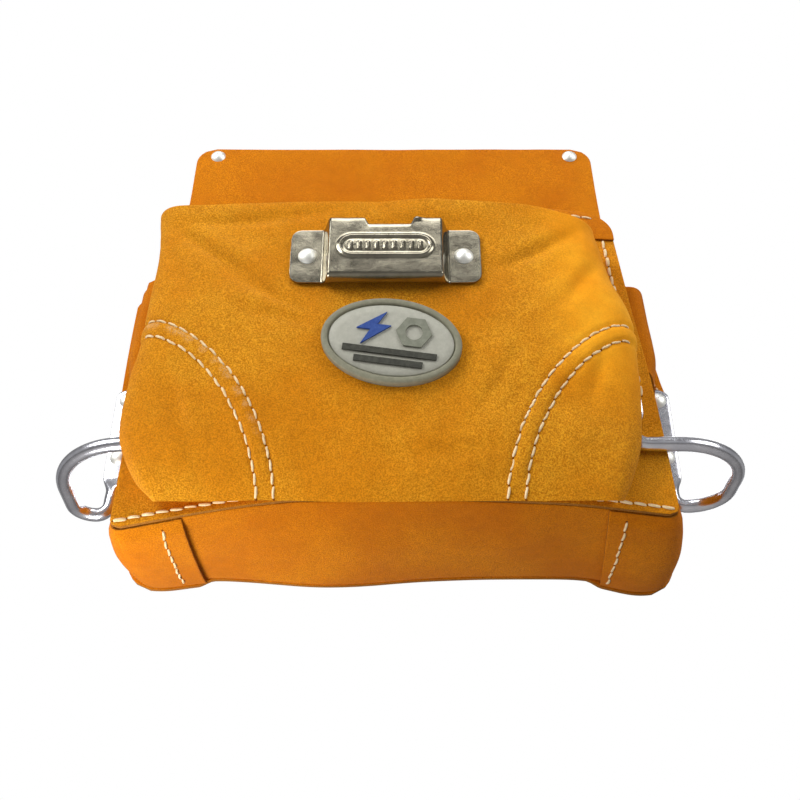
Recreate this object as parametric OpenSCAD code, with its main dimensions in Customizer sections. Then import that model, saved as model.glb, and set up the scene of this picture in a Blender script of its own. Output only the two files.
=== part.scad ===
// Suede tool pouch worn on a belt: a deep main pocket, a boxed front pocket, four
// small tool sleeves, a pressed tape clip, an oval badge and two hammer loops.
// X runs across the pouch, Z up, and the front faces -Y.
// The origin is the centre of the belt tunnel.

/* [Leather] */
// Thickness of the suede
leather_t = 2.6; // [2:0.1:3]

/* [Main pocket] */
// Half the width of the main pocket at its bottom
main_half_w = 130; // [120:1:135]
// Half the width of the main pocket at its mouth
main_mouth_half_w = 120; // [110:1:128]
// Height of the main pocket's front
main_h = 188; // [180:1:200]
// Depth of the main pocket, front to back
main_d = 63; // [50:1:70]
// Radius of the gusset where it turns the bottom corners
gusset_r = 10; // [8:1:20]
// Half the length of the gusset's central strip
gusset_strip_half = 100; // [90:1:104]
// Length that the gusset's corner strips lap over the central one
gusset_lap = 15; // [10:1:20]
// Height of the reinforcing band along the mouth
band_h = 22; // [21:1:28]

/* [Back] */
// Height of the back panel
back_h = 300; // [290:1:310]
// Half the width of the back panel above its wings
back_half_w = 128; // [124:1:130]
// Half the width of the back panel across its wings
wing_half_w = 153; // [152:1:156]
// Height of the wings' top
wing_top = 182; // [178:1:190]

/* [Belt tunnel] */
// Height of the tunnel strip
tunnel_h = 86; // [70:1:88]
// Clear gap for the belt
tunnel_gap = 8; // [6:0.5:12]
// Height of the strip's sewn margins
tunnel_seam = 9; // [7:1:12]

/* [Front pocket] */
// Half the width of the front pocket at its widest
front_half_w = 119; // [112:1:122]
// Half the width of the front pocket at its bottom fold
front_fold_half_w = 105; // [95:1:108]
// Half the width of the front pocket at its mouth
front_mouth_half_w = 111; // [105:1:115]
// Half the width where the front pocket's sides are sewn down
front_base_half_w = 100; // [95:1:102]
// Height of the front pocket's mouth
front_h = 162; // [155:1:168]
// Depth of the front pocket at its bottom fold
fold_d = 13; // [10:1:16]
// How much deeper the front pocket is at its belly
belly_d = 21; // [15:1:25]
// Height at which the belly is full
belly_z = 110; // [100:1:115]
// Width of each sewn corner piece along the bottom
corner_w = 66; // [55:1:70]
// Height of each sewn corner piece up the side
corner_h = 87; // [75:1:95]

/* [Tape clip] */
// Width of the clip's bridge
bridge_w = 59; // [50:1:62]
// Height of the clip's bridge
bridge_h = 37; // [35:1:40]
// Clear gap under the bridge
bridge_gap = 8; // [6:0.5:10]
// Length of each ear
ear_w = 17; // [16:1:18]
// Height of each ear
ear_h = 33; // [28:1:34]
// Thickness of the clip's steel
clip_t = 1.2; // [1:0.1:1.6]
// Height of the clip's centre
clip_z = 125; // [123:1:128]
// Sideways place of the clip
clip_x = -3; // [-5:1:0]

/* [Badge] */
// Width of the oval badge
badge_w = 66; // [60:1:70]
// Height of the oval badge
badge_h = 44; // [40:1:48]
// Thickness of the badge's plate
badge_t = 3.4; // [2.4:0.1:4]
// Height of the badge's centre
badge_z = 75; // [72:1:80]
// Tilt of the badge's long axis
badge_tilt = 8; // [0:1:10]

/* [Hammer loops] */
// Diameter of the loop's rod
rod_d = 7; // [6:0.5:8]
// Height of the loop
loop_z = 37; // [34:1:40]
// How far out the middle of the right loop's rod reaches
loop_reach_right = 170; // [165:1:175]
// How far out the middle of the left loop's rod reaches
loop_reach_left = 164; // [163:1:175]
// Place of the rear leg, out from the middle
rear_leg_x = 146; // [145:1:147]
// Place of the front leg, out from the middle
front_leg_x = 114; // [113:1:116]
// Width of the flattened legs
leg_w = 13; // [12:0.5:14]
// Thickness of the flattened legs
leg_t = 2.5; // [2:0.1:3]
// Height of the flattened legs' top
leg_top = 110; // [108:1:112]

/* [Rivets] */
// Diameter of the rivets' heads
head_d = 9.5; // [8:0.5:10]
// Diameter of the rivets' shanks
shank_d = 4; // [3.5:0.1:4.5]
// Diameter of the washers behind the leather
burr_d = 10; // [9:0.5:11]

/* [Hidden] */
$fn = 48;

suede = "#e0921e";
suede_shade = "#c07818";
steel = "#c4c6c8";
rivet_steel = "#d8d8d4";
rubber_grey = "#a8a690";
icon_blue = "#3858a8";
icon_grey = "#7f8070";
dark_rubber = "#3a3a36";

clearance = 0.05;
over = 1;
tunnel_z = back_h - 2 - tunnel_h / 2;
back_front_y = -leather_t;
face_back_y = -main_d;
face_front_y = -main_d - leather_t;
full_d = fold_d + belly_d;
clip_y = face_front_y - full_d;
burr_t = 1;
head_h = 2.6;
band_t = 1.8;
rod_gap = 0.1;
rear_rod_y = back_front_y - rod_d / 2 - rod_gap;
front_rod_y = face_front_y - rod_d / 2 - rod_gap;
leg_bottom = loop_z + 17;
leg_rivets = [loop_z + 30, loop_z + 66];
elbow_r = 6;
leg_corner_r = 4;
tunnel_rivet_x = back_half_w - 14;
tunnel_rivet_z = [tunnel_seam / 2, tunnel_h - tunnel_seam / 2];

// Moves the pouch so that the belt tunnel's centre is the origin.
module placed() {
    translate([0, -tunnel_gap / 2, -tunnel_z]) children();
}

// Points on an ellipse about [cx, cz], from angle a0 to a1.
function arc_points(cx, cz, rx, rz, a0, a1, steps = 8) =
    [for (i = [0:steps]) let (a = a0 + (a1 - a0) * i / steps) [cx + rx * cos(a), cz + rz * sin(a)]];

// A right half-outline and its mirror image as one closed outline.
function mirrored(half) =
    concat(half, [for (i = [len(half) - 1:-1:0]) [-half[i][0], half[i][1]]]);

// A flat outline in X and Z, standing from y0 forwards to y1.
module standing(y0, y1, points) {
    translate([0, y0, 0]) rotate([90, 0, 0]) linear_extrude(y0 - y1) polygon(points);
}

// A round hole or shank of diameter d along Y, from y0 forwards to y1.
module along_y(x, z, y0, y1, d) {
    translate([x, y0, z]) rotate([90, 0, 0]) cylinder(d = d, h = y0 - y1);
}

// A rivet whose domed head stands forwards of y_head, with its shank back to y_end.
module rivet(x, z, y_head, y_end) {
    sphere_r = (head_d * head_d / 4 + head_h * head_h) / (2 * head_h);
    translate([x, y_head, z]) rotate([90, 0, 0]) intersection() {
        translate([0, 0, head_h - sphere_r]) sphere(sphere_r);
        cylinder(d = head_d, h = head_h);
    }
    along_y(x, z, y_end, y_head, shank_d);
}

// A washer on the back of the leather at y0, behind the face it grips.
module burr(x, z, y0) {
    difference() {
        along_y(x, z, y0 + burr_t, y0, burr_d);
        along_y(x, z, y0 + burr_t + over, y0 - over, shank_d + 2 * clearance);
    }
}

// ---- Back ----

back_corner_r = 10;
// Points of the right wing's edge, going up: its foot, its widest part and its top.
wing_edge = [
    [wing_half_w - 2, loop_z + 6], [wing_half_w, loop_z + 12], [wing_half_w, wing_top - 62],
    [wing_half_w - 7, wing_top], [back_half_w, wing_top + 6]
];
back_outline = mirrored(concat(
    arc_points(main_half_w - gusset_r, gusset_r, gusset_r, gusset_r, -90, 0),
    wing_edge,
    arc_points(back_half_w - back_corner_r, back_h - back_corner_r, back_corner_r, back_corner_r, 0, 90)
));

module leg_holes(y0, y1, x) {
    for (side = [-1, 1], z = leg_rivets)
        along_y(side * x, z, y0 + over, y1 - over, shank_d + 2 * clearance);
}

module tunnel_holes(y0, y1) {
    for (side = [-1, 1], z = tunnel_rivet_z)
        along_y(side * tunnel_rivet_x, tunnel_z - tunnel_h / 2 + z, y0 + over, y1 - over,
            shank_d + 2 * clearance);
}

module back_panel() {
    color(suede_shade) placed() difference() {
        standing(0, back_front_y, back_outline);
        leg_holes(0, back_front_y, rear_leg_x);
        tunnel_holes(0, back_front_y);
    }
}

tunnel_half_w = back_half_w - 3;

// Section of the tunnel strip in Y and Z: two sewn margins and a bowed wall between.
module tunnel_section() {
    bow = tunnel_gap + leather_t;
    // Height over which the wall slopes out from each margin.
    slope = 5;
    polygon([
        [0, 0], [leather_t, 0],
        [leather_t, tunnel_seam - 1], [bow, tunnel_seam + slope],
        [bow, tunnel_h - tunnel_seam - slope], [leather_t, tunnel_h - tunnel_seam + 1],
        [leather_t, tunnel_h], [0, tunnel_h],
        [0, tunnel_h - tunnel_seam], [tunnel_gap, tunnel_h - tunnel_seam - slope - 1],
        [tunnel_gap, tunnel_seam + slope + 1], [0, tunnel_seam]
    ]);
}

module belt_tunnel() {
    color(suede) placed() difference() {
        translate([-tunnel_half_w, 0, tunnel_z - tunnel_h / 2])
            rotate([90, 0, 90]) linear_extrude(2 * tunnel_half_w) tunnel_section();
        tunnel_holes(leather_t, 0);
    }
}

module tunnel_rivets() {
    color(rivet_steel) placed() for (side = [-1, 1], z = tunnel_rivet_z)
        rivet(side * tunnel_rivet_x, tunnel_z - tunnel_h / 2 + z, back_front_y, leather_t + burr_t);
}

module tunnel_washers() {
    color(rivet_steel) placed() for (side = [-1, 1], z = tunnel_rivet_z)
        burr(side * tunnel_rivet_x, tunnel_z - tunnel_h / 2 + z, leather_t);
}

// ---- Main pocket ----

// Width and height of the rounded corner at each end of the mouth.
mouth_corner = [12, 20];

face_outline = mirrored(concat(
    arc_points(main_half_w - gusset_r, gusset_r, gusset_r, gusset_r, -90, 0),
    arc_points(main_mouth_half_w - mouth_corner[0], main_h - mouth_corner[1], mouth_corner[0], mouth_corner[1], 0, 90)
));

module main_pocket_face() {
    color(suede) placed() difference() {
        standing(face_back_y, face_front_y, face_outline);
        leg_holes(face_back_y, face_front_y, front_leg_x);
    }
}

module main_mouth_band() {
    // The band stops short of the face's side edges by this much.
    inset = 1;
    color(suede) placed() standing(face_front_y, face_front_y - band_t, mirrored(concat(
        [[main_mouth_half_w - inset, main_h - band_h]],
        arc_points(main_mouth_half_w - mouth_corner[0], main_h - mouth_corner[1],
            mouth_corner[0] - inset, mouth_corner[1], 0, 90)
    )));
}

// How far the gusset's ends stop below the mouth.
mouth_step = 8;

// The gusset's outer line on the right, from the bottom's middle up to the mouth,
// moved inwards by inset.
function gusset_line(inset) = concat(
    arc_points(main_half_w - gusset_r, gusset_r, gusset_r - inset, gusset_r - inset, -90, 0),
    [[main_mouth_half_w - inset, main_h - mouth_step]]
);

module gusset_corner_right() {
    start = gusset_strip_half - gusset_lap;
    inner = gusset_line(leather_t);
    standing(back_front_y, face_back_y, concat(
        [[start, 0]],
        gusset_line(0),
        [for (i = [len(inner) - 1:-1:0]) inner[i]],
        [[start, leather_t]]
    ));
}

module main_gusset_right() {
    color(suede_shade) placed() gusset_corner_right();
}

module main_gusset_left() {
    color(suede_shade) placed() mirror([1, 0, 0]) gusset_corner_right();
}

module main_gusset_bottom() {
    color(suede) placed() translate([-gusset_strip_half, face_back_y, leather_t])
        cube([2 * gusset_strip_half, main_d - leather_t, leather_t]);
}

// ---- Tool sleeves ----

// Half-round sleeve wall in plan: width w, standing proud by d, open above and below.
module sleeve_section(w, d) {
    steps = 12;
    difference() {
        polygon(arc_points(0, 0, w / 2, d, 0, 180, steps));
        polygon(concat(
            arc_points(0, 0, w / 2 - leather_t, d - leather_t, 0, 180, steps),
            [[-w / 2 + leather_t, -over], [w / 2 - leather_t, -over]]
        ));
    }
}

side_sleeve_z = 80;
side_sleeve_h = 60;
side_sleeve_y = -38;
side_sleeve_w = 36;
side_sleeve_d = 12;
wing_sleeve_z = 116;
wing_sleeve_h = 56;
wing_sleeve_w = 20;
wing_sleeve_d = 13;
wing_sleeve_x = 137;
wing_lean = 3;
side_lean = atan((main_half_w - main_mouth_half_w) / (main_h - gusset_r - mouth_step));

module side_sleeve_right_shape() {
    foot = main_half_w - (side_sleeve_z - gusset_r) * tan(side_lean);
    translate([foot + clearance, side_sleeve_y, side_sleeve_z]) rotate([0, -side_lean, 0])
        rotate([0, 0, -90]) linear_extrude(side_sleeve_h) sleeve_section(side_sleeve_w, side_sleeve_d);
}

module side_sleeve_right() {
    color(suede) placed() side_sleeve_right_shape();
}

module side_sleeve_left() {
    color(suede) placed() mirror([1, 0, 0]) side_sleeve_right_shape();
}

module wing_sleeve_right_shape() {
    translate([wing_sleeve_x, back_front_y, wing_sleeve_z]) rotate([0, -wing_lean, 0])
        rotate([0, 0, 180]) linear_extrude(wing_sleeve_h) sleeve_section(wing_sleeve_w, wing_sleeve_d);
}

module wing_sleeve_right() {
    color(suede) placed() wing_sleeve_right_shape();
}

module wing_sleeve_left() {
    color(suede) placed() mirror([1, 0, 0]) wing_sleeve_right_shape();
}

// ---- Front pocket ----

front_z0 = 2;
// The form runs this far past the mouth before it is cut off there.
mouth_spare = 12;

// Depth of the front pocket at height z.
function pocket_d(z) = fold_d + belly_d * sin(90 * min(z / belly_z, 1));

// Side view of the front pocket, drawn in depth and height and moved in by inset.
module belly_section(inset) {
    // The fold's corner: how far it is cut back, and how far up it starts.
    fold_chamfer = 4;
    fold_rise = 6;
    polygon(concat(
        [[0, front_z0 + inset], [fold_d - fold_chamfer, front_z0 + inset]],
        [for (z = [front_z0 + fold_rise:mouth_spare:front_h + mouth_spare]) [pocket_d(z) - inset, z]],
        [[0, front_h + mouth_spare]]
    ));
}

// Front view of the front pocket, moved in by inset.
module front_section(inset) {
    // Heights between which the pocket is at its widest.
    widest = [34, 84];
    polygon(mirrored([
        [front_fold_half_w - inset, front_z0 - over],
        [front_half_w - inset, widest[0]],
        [front_half_w - inset, widest[1]],
        [front_mouth_half_w - inset, front_h + mouth_spare]
    ]));
}

// Plan of the front pocket in X and depth: its sides bulge out past the line where
// they are sewn down, and turn in again at the front.
module plan_section(inset) {
    // Width and depth of the cut across each front corner.
    corner = [10, 12];
    polygon(mirrored([
        [front_base_half_w - inset, 0],
        [front_half_w - inset, 0.55 * full_d],
        [front_half_w - inset, full_d - corner[1]],
        [front_half_w - corner[0] - inset, full_d + over]
    ]));
}

// The front pocket's solid form, moved in by inset. Its back is the main pocket's face.
module pocket_form(inset) {
    intersection() {
        translate([-wing_half_w, face_front_y, 0]) rotate([90, 0, 90])
            linear_extrude(2 * wing_half_w) mirror([1, 0]) belly_section(inset);
        translate([0, face_front_y, 0]) rotate([90, 0, 0])
            linear_extrude(full_d + over) front_section(inset);
        translate([0, face_front_y, 0]) mirror([0, 1, 0])
            linear_extrude(front_h + mouth_spare) plan_section(inset);
    }
}

// The pocket's leather: the form hollowed from behind and cut off at the mouth.
module pocket_shell() {
    difference() {
        pocket_form(0);
        translate([0, over / 100, 0]) pocket_form(leather_t);
        translate([-wing_half_w, clip_y - over, front_h])
            cube([2 * wing_half_w, full_d + 2 * over, mouth_spare + over]);
    }
}

// The region of one sewn corner, as a block that runs through the pocket's depth.
module corner_region(side) {
    mirror([side > 0 ? 0 : 1, 0, 0])
        standing(face_front_y + over, clip_y - over, concat(
            [[wing_half_w, 0]],
            [[front_half_w, corner_h]],
            arc_points(front_half_w, 0, corner_w, corner_h, 90, 180, 10)
        ));
}

// The pocket's floor, between its two corner pieces.
module floor_region() {
    cut = front_half_w - corner_w;
    translate([-cut, clip_y, front_z0]) cube([2 * cut, full_d, leather_t]);
}

module front_pocket_face() {
    color(suede) placed() difference() {
        pocket_shell();
        for (side = [-1, 1]) corner_region(side);
        floor_region();
        for (x = clip_rivets) along_y(x, clip_z, face_front_y, clip_y - over, shank_d + 2 * clearance);
    }
}

module front_pocket_corner(side) {
    color(suede) placed() intersection() {
        pocket_shell();
        corner_region(side);
    }
}

module front_pocket_corner_left() { front_pocket_corner(-1); }
module front_pocket_corner_right() { front_pocket_corner(1); }

module front_pocket_gusset() {
    color(suede_shade) placed() intersection() {
        pocket_form(0);
        floor_region();
    }
}

// ---- Badge ----

belly_slope = belly_d * 90 / belly_z * PI / 180 * cos(90 * badge_z / belly_z);
badge_lean = atan(belly_slope);

// Puts a shape drawn in X and Y onto the pocket's belly, facing forwards.
module on_belly() {
    translate([0, face_front_y - pocket_d(badge_z) - 2 * clearance, badge_z])
        rotate([90 + badge_lean, 0, 0]) rotate([0, 0, -badge_tilt]) children();
}

module oval(inset) {
    scale([badge_w / 2 - inset, badge_h / 2 - inset]) circle(1, $fn = 64);
}

rim_w = 3;
rim_h = 0.8;
icon_h = 1;

module badge_plate() {
    color(rubber_grey) placed() on_belly() {
        linear_extrude(badge_t) oval(0);
        translate([0, 0, badge_t]) linear_extrude(rim_h) difference() {
            oval(0);
            oval(rim_w);
        }
    }
}

module badge_bolt() {
    color(icon_blue) placed() on_belly() translate([-9, 5, badge_t]) linear_extrude(icon_h)
        polygon([[5, 9], [-8, -1], [-1.5, -1], [-5, -9], [8, 2], [1.5, 2]]);
}

module badge_hexagon() {
    nut_d = 17;
    hole_d = 8;
    color(icon_grey) placed() on_belly() translate([10, 5, badge_t]) linear_extrude(icon_h)
        difference() {
            circle(d = nut_d, $fn = 6);
            circle(d = hole_d);
        }
}

module badge_bars() {
    bar_h = 3;
    // Each bar's height on the badge and its length.
    bars = [[-6.5, 44], [-11.5, 32]];
    color(dark_rubber) placed() on_belly() for (bar = bars)
        translate([0, bar[0], badge_t + icon_h / 2]) cube([bar[1], bar_h, icon_h], center = true);
}

// ---- Tape clip ----

clip_rivet_x = bridge_w / 2 + ear_w / 2;
clip_rivets = [clip_x - clip_rivet_x, clip_x + clip_rivet_x];

// Plan of the pressed strip: two ears joined by a raised bridge.
module clip_section() {
    rise = bridge_gap;
    // The bridge's walls lean in by flare, and are wall thick across.
    flare = 3;
    wall = 1;
    half = bridge_w / 2;
    polygon(concat(
        [[-half - ear_w, 0], [-half - ear_w, clip_t], [-half - wall, clip_t]],
        [[-half + flare - wall, rise + clip_t], [half - flare + wall, rise + clip_t]],
        [[half + wall, clip_t], [half + ear_w, clip_t], [half + ear_w, 0], [half, 0]],
        [[half - flare, rise], [-half + flare, rise], [-half, 0]]
    ));
}

// Front view of the clip, which trims the pressed strip to its ears and bridge.
module clip_outline() {
    ear_r = 5;
    union() {
        square([bridge_w + 2, bridge_h], center = true);
        for (side = [-1, 1], end = [-1, 1])
            translate([side * (bridge_w / 2 + ear_w - ear_r), end * (ear_h / 2 - ear_r)]) circle(ear_r);
        square([bridge_w + 2 * ear_w - 2 * ear_r, ear_h], center = true);
        square([bridge_w + 2 * ear_w, ear_h - 2 * ear_r], center = true);
    }
}

module tape_clip() {
    notch = [24, 4];
    notch_x = 2;
    color(steel) placed() translate([clip_x, clip_y, clip_z]) difference() {
        intersection() {
            translate([0, 0, -bridge_h / 2]) mirror([0, 1, 0])
                linear_extrude(bridge_h) clip_section();
            rotate([90, 0, 0]) linear_extrude(bridge_gap + 2 * clip_t) clip_outline();
        }
        translate([-notch[0] / 2 + notch_x, -bridge_gap - 2 * clip_t, bridge_h / 2 - notch[1]])
            cube([notch[0], 2 * clip_t + over, notch[1] + over]);
        for (side = [-1, 1])
            along_y(side * clip_rivet_x, 0, over, -clip_t - over, shank_d + 2 * clearance);
    }
}

module tape_clip_rivets() {
    color(rivet_steel) placed() for (x = clip_rivets)
        rivet(x, clip_z, clip_y - clip_t, clip_y + leather_t + burr_t);
}

module tape_clip_washers() {
    color(rivet_steel) placed() for (x = clip_rivets) burr(x, clip_z, clip_y + leather_t);
}

// ---- Hammer loops ----

// Radius of each loop's rear and front corners.
corner_r_right = [18, 34];
corner_r_left = [10, 38];

// A quarter turn of the rod in the loop's plane about [x, y], from angle a.
module rod_corner(x, y, r, a) {
    translate([x, y, loop_z]) rotate([0, 0, a]) rotate_extrude(angle = 90)
        translate([r, 0]) circle(d = rod_d);
}

// A leg at x, standing on the rod's end: elbow, neck and flattened plate.
// plate_y is the leather's face behind the plate, rod_y the middle of the rod.
module leg(x, rod_y, plate_y) {
    translate([x + elbow_r, rod_y, loop_z + elbow_r]) rotate([90, 0, 0]) rotate([0, 0, 180])
        rotate_extrude(angle = 90) translate([elbow_r, 0]) circle(d = rod_d);
    hull() {
        translate([x, rod_y, loop_z + elbow_r - 2 * clearance]) cylinder(d = rod_d, h = over);
        translate([x - leg_w / 2, plate_y - leg_t - clearance, leg_bottom]) cube([leg_w, leg_t, over]);
    }
    difference() {
        standing(plate_y - clearance, plate_y - leg_t - clearance, concat(
            [[x - leg_w / 2, leg_bottom], [x + leg_w / 2, leg_bottom]],
            arc_points(x + leg_w / 2 - leg_corner_r, leg_top - leg_corner_r, leg_corner_r, leg_corner_r, 0, 90),
            arc_points(x - leg_w / 2 + leg_corner_r, leg_top - leg_corner_r, leg_corner_r, leg_corner_r, 90, 180)
        ));
        for (z = leg_rivets)
            along_y(x, z, plate_y + over, plate_y - leg_t - over, shank_d + 2 * clearance);
    }
}

// A straight stretch of rod along X, from x0 out to x1.
module rod_arm(x0, x1, y) {
    translate([x0, y, loop_z]) rotate([0, 90, 0]) cylinder(d = rod_d, h = x1 - x0);
}

// A loop on the right side: its rod reaches out to reach, round a rear and a front corner.
module hammer_loop_shape(reach, corner_r) {
    rear_x = reach - corner_r[0];
    front_x = reach - corner_r[1];
    rear_y = rear_rod_y - corner_r[0];
    front_y = front_rod_y + corner_r[1];
    leg(rear_leg_x, rear_rod_y, back_front_y);
    leg(front_leg_x, front_rod_y, face_front_y);
    rod_arm(rear_leg_x + elbow_r, rear_x, rear_rod_y);
    rod_arm(front_leg_x + elbow_r, front_x, front_rod_y);
    rod_corner(rear_x, rear_y, corner_r[0], 0);
    rod_corner(front_x, front_y, corner_r[1], -90);
    translate([reach, front_y, loop_z]) rotate([-90, 0, 0])
        cylinder(d = rod_d, h = rear_y - front_y);
}

module hammer_loop_right() {
    color(steel) placed() hammer_loop_shape(loop_reach_right, corner_r_right);
}

module hammer_loop_left() {
    color(steel) placed() mirror([1, 0, 0]) hammer_loop_shape(loop_reach_left, corner_r_left);
}

module leg_rivet_set(side) {
    color(rivet_steel) placed() for (z = leg_rivets) {
        rivet(side * rear_leg_x, z, back_front_y - leg_t - clearance, burr_t);
        rivet(side * front_leg_x, z, face_front_y - leg_t - clearance, face_back_y + burr_t);
    }
}

module hammer_loop_rivets_left() { leg_rivet_set(-1); }
module hammer_loop_rivets_right() { leg_rivet_set(1); }

module leg_washer_set(side) {
    color(rivet_steel) placed() for (z = leg_rivets) {
        burr(side * rear_leg_x, z, 0);
        burr(side * front_leg_x, z, face_back_y);
    }
}

module hammer_loop_washers_left() { leg_washer_set(-1); }
module hammer_loop_washers_right() { leg_washer_set(1); }

back_panel();
belt_tunnel();
tunnel_rivets();
tunnel_washers();
main_pocket_face();
main_mouth_band();
main_gusset_bottom();
main_gusset_left();
main_gusset_right();
side_sleeve_left();
side_sleeve_right();
wing_sleeve_left();
wing_sleeve_right();
front_pocket_face();
front_pocket_corner_left();
front_pocket_corner_right();
front_pocket_gusset();
badge_plate();
badge_bolt();
badge_hexagon();
badge_bars();
tape_clip();
tape_clip_rivets();
tape_clip_washers();
hammer_loop_left();
hammer_loop_right();
hammer_loop_rivets_left();
hammer_loop_rivets_right();
hammer_loop_washers_left();
hammer_loop_washers_right();
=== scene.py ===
"""Looks of the suede tool pouch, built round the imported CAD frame.

Lengths are in millimetres in "pouch" coordinates until place() turns them into metres:
x across, y back from the back panel's rear face (forwards is negative), z up from the bottom.
"""
import math

import bpy
import numpy as np
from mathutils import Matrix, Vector, noise
from mathutils.bvhtree import BVHTree


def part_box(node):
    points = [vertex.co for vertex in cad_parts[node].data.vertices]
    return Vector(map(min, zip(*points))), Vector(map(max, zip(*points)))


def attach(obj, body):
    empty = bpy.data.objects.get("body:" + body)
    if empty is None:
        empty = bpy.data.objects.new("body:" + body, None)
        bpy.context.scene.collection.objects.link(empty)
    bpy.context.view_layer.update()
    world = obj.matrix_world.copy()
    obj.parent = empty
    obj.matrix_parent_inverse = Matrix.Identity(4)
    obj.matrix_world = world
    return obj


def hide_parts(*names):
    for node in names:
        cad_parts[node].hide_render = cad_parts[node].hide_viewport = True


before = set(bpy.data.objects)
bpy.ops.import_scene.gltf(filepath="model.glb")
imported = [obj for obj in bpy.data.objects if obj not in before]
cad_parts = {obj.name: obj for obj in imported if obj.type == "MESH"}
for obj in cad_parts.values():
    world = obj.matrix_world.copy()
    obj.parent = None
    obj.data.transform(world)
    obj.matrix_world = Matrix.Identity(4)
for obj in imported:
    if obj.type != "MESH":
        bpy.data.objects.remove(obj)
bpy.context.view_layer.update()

BODY = "root"
MM = 0.001

# ---- Places and sizes read from the frame, in pouch millimetres ----

REAR_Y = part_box("back_panel")[1][1]
BOTTOM_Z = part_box("back_panel")[0][2]


def extent(node):
    """Lowest and highest corner of a CAD node in pouch millimetres."""
    low, high = (np.array(corner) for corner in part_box(node))
    shift = np.array([0, REAR_Y, BOTTOM_Z])
    return (low - shift) / MM, (high - shift) / MM


LEATHER_T = 2.4
FACE_Y = extent("main_pocket_face")[0][1]
MAIN_MOUTH_Z = extent("main_pocket_face")[1][2]
FRONT_MOUTH_Z = extent("front_pocket_face")[1][2]
BACK_TOP_Z = extent("back_panel")[1][2]
LOOP_BOTTOM_Z = extent("hammer_loop_right")[0][2]


def place(points):
    """Pouch millimetres to metres in the frame."""
    return np.asarray(points, float) * MM + np.array([0, REAR_Y, BOTTOM_Z])


# ---- Small mathematics ----

def smooth(t):
    """Smoothstep of t, held to 0..1."""
    t = np.clip(t, 0, 1)
    return t * t * (3 - 2 * t)


def through(xs, ys, x):
    """A smooth curve through a few points that never overshoots them."""
    xs, ys, x = np.asarray(xs, float), np.asarray(ys, float), np.asarray(x, float)
    rises = np.diff(ys) / np.diff(xs)
    before, after = np.r_[rises[0], rises], np.r_[rises, rises[-1]]
    same_way = before * after > 0
    slopes = np.where(same_way, 2 * before * after / np.where(same_way, before + after, 1), 0)
    i = np.clip(np.searchsorted(xs, x) - 1, 0, len(xs) - 2)
    h = xs[i + 1] - xs[i]
    t = np.clip((x - xs[i]) / h, 0, 1)
    h00, h10 = 2 * t**3 - 3 * t**2 + 1, t**3 - 2 * t**2 + t
    h01, h11 = -2 * t**3 + 3 * t**2, t**3 - t**2
    return h00 * ys[i] + h10 * h * slopes[i] + h01 * ys[i + 1] + h11 * h * slopes[i + 1]


def bspline(control, n):
    """n points on a clamped uniform cubic B-spline, evenly spaced along it."""
    c = np.asarray(control, float)
    c = np.vstack([c[0], c[0], c, c[-1], c[-1]])
    t = np.linspace(0, len(c) - 3, 12 * len(c), endpoint=False)
    i = np.minimum(t.astype(int), len(c) - 4)
    f = (t - i)[:, None]
    p = (
        (1 - f) ** 3 * c[i]
        + (3 * f**3 - 6 * f**2 + 4) * c[i + 1]
        + (-3 * f**3 + 3 * f**2 + 3 * f + 1) * c[i + 2]
        + f**3 * c[i + 3]
    ) / 6
    return resample(p, n)


def resample(points, n):
    """n points evenly spaced along a polyline."""
    points = np.asarray(points, float)
    steps = np.linalg.norm(np.diff(points, axis=0), axis=1)
    along = np.concatenate([[0], np.cumsum(steps)])
    want = np.linspace(0, along[-1], n)
    return np.stack([np.interp(want, along, points[:, k]) for k in range(points.shape[1])], 1)


def quarter(t):
    """A quarter circle's fall from 1 at t = 0 to 0 from t = 1 on, steepest at its start."""
    return 1 - np.sqrt(1 - (1 - np.clip(t, 0, 1)) ** 2)


def hump(x, middle, width):
    """A bell of height 1."""
    return np.exp(-(((x - middle) / width) ** 2))


def lumps(points, size, seed):
    """Smooth noise from -1 to 1 at points in millimetres, for features of about that size."""
    scaled = np.asarray(points, float).reshape(-1, 3) / size
    values = [noise.noise(Vector((p[0] + seed, p[1] - seed, p[2] + 3 * seed))) for p in scaled]
    return np.array(values).reshape(np.asarray(points).shape[:-1])


def arc(cx, cy, r, a0, a1, n):
    """Points on a circle's arc, angles in degrees."""
    a = np.radians(np.linspace(a0, a1, n))
    return np.stack([cx + r * np.cos(a), cy + r * np.sin(a)], 1)


def flat(x, z=0):
    """Points in the plane y = 0."""
    return np.stack([x, 0 * x, z + 0 * x], -1)


def sheet(rows, cols):
    """A sheet's two parameters, as a column from 0 to 1 and a row from -1 to 1."""
    return np.linspace(0, 1, rows)[:, None], np.linspace(-1, 1, cols)[None, :]


# ---- Building meshes ----

def finish_object(obj, materials, slot, *nodes):
    """Gives a piece its materials and body, and hides the CAD nodes that it stands for. Its slot is not used."""
    for material in materials:
        obj.data.materials.append(material)
    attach(obj, BODY)
    if nodes:
        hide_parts(*nodes)
    return obj


def mesh_object(name, points, faces):
    """A smooth-shaded mesh object from points in pouch millimetres."""
    mesh = bpy.data.meshes.new(name)
    mesh.from_pydata(place(points).tolist(), [], faces)
    mesh.validate()
    mesh.polygons.foreach_set("use_smooth", [True] * len(mesh.polygons))
    obj = bpy.data.objects.new(name, mesh)
    bpy.context.scene.collection.objects.link(obj)
    return obj


def grid_faces(rows, cols, close=False, start=0):
    """Quads over a grid of points, closed across its columns if asked."""
    last = cols if close else cols - 1
    return [
        (start + r * cols + c, start + r * cols + (c + 1) % cols,
         start + (r + 1) * cols + (c + 1) % cols, start + (r + 1) * cols + c)
        for r in range(rows - 1) for c in range(last)
    ]


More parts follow.
